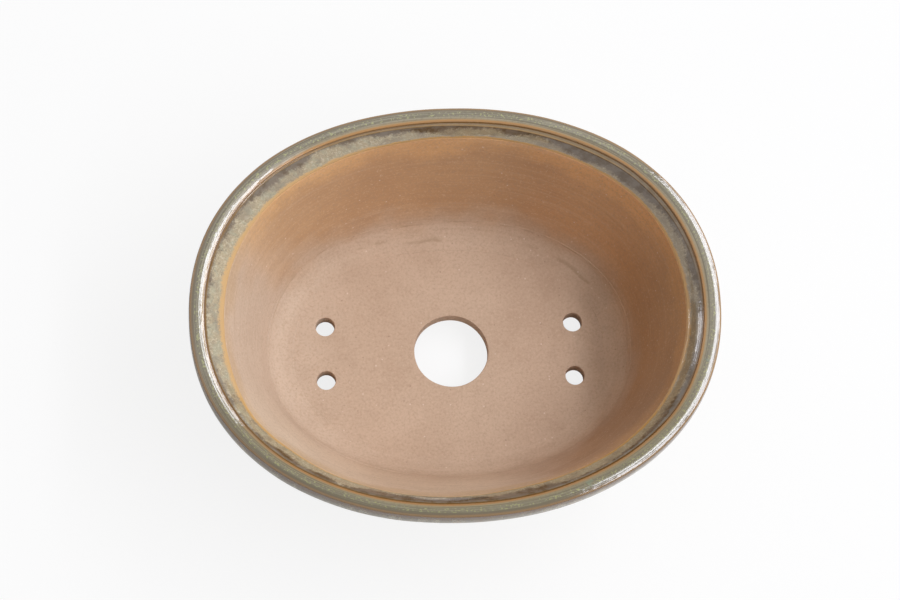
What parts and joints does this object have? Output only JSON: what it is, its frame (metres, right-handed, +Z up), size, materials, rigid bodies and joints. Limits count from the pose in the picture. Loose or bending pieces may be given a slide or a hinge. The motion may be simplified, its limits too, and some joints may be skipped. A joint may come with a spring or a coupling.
{
  "type": "oval bonsai pot",
  "caption": "Open oval ceramic pot with a thick glazed lip, a flaring wall, short feet, a central drain hole and small wire holes in its floor.",
  "frame": {"origin": "centre of the pot's outline, on the plane that the feet stand on", "axes": "+X along the oval's long side, +Y along its short side, +Z up out of the mouth"},
  "size_m": [0.1808, 0.1454, 0.067],
  "materials": {
    "bare_clay": "unglazed tan stoneware with fine specks and faint wiping lines",
    "rim_clay": "unglazed stoneware under the glaze",
    "olive_glaze": "satin mottled olive glaze that breaks to rust on the ridges",
    "foot_clay": "unglazed stoneware, a little darker where it was wiped"
  },
  "bodies": {
    "root": {"floor_slab": "bare_clay", "wall": "bare_clay", "corner_coil": "bare_clay", "rim_band": "rim_clay", "glaze_coat": "olive_glaze", "foot_front_left": "foot_clay", "foot_front_right": "foot_clay", "foot_back_left": "foot_clay", "foot_back_right": "foot_clay"}
  },
  "joints": []
}
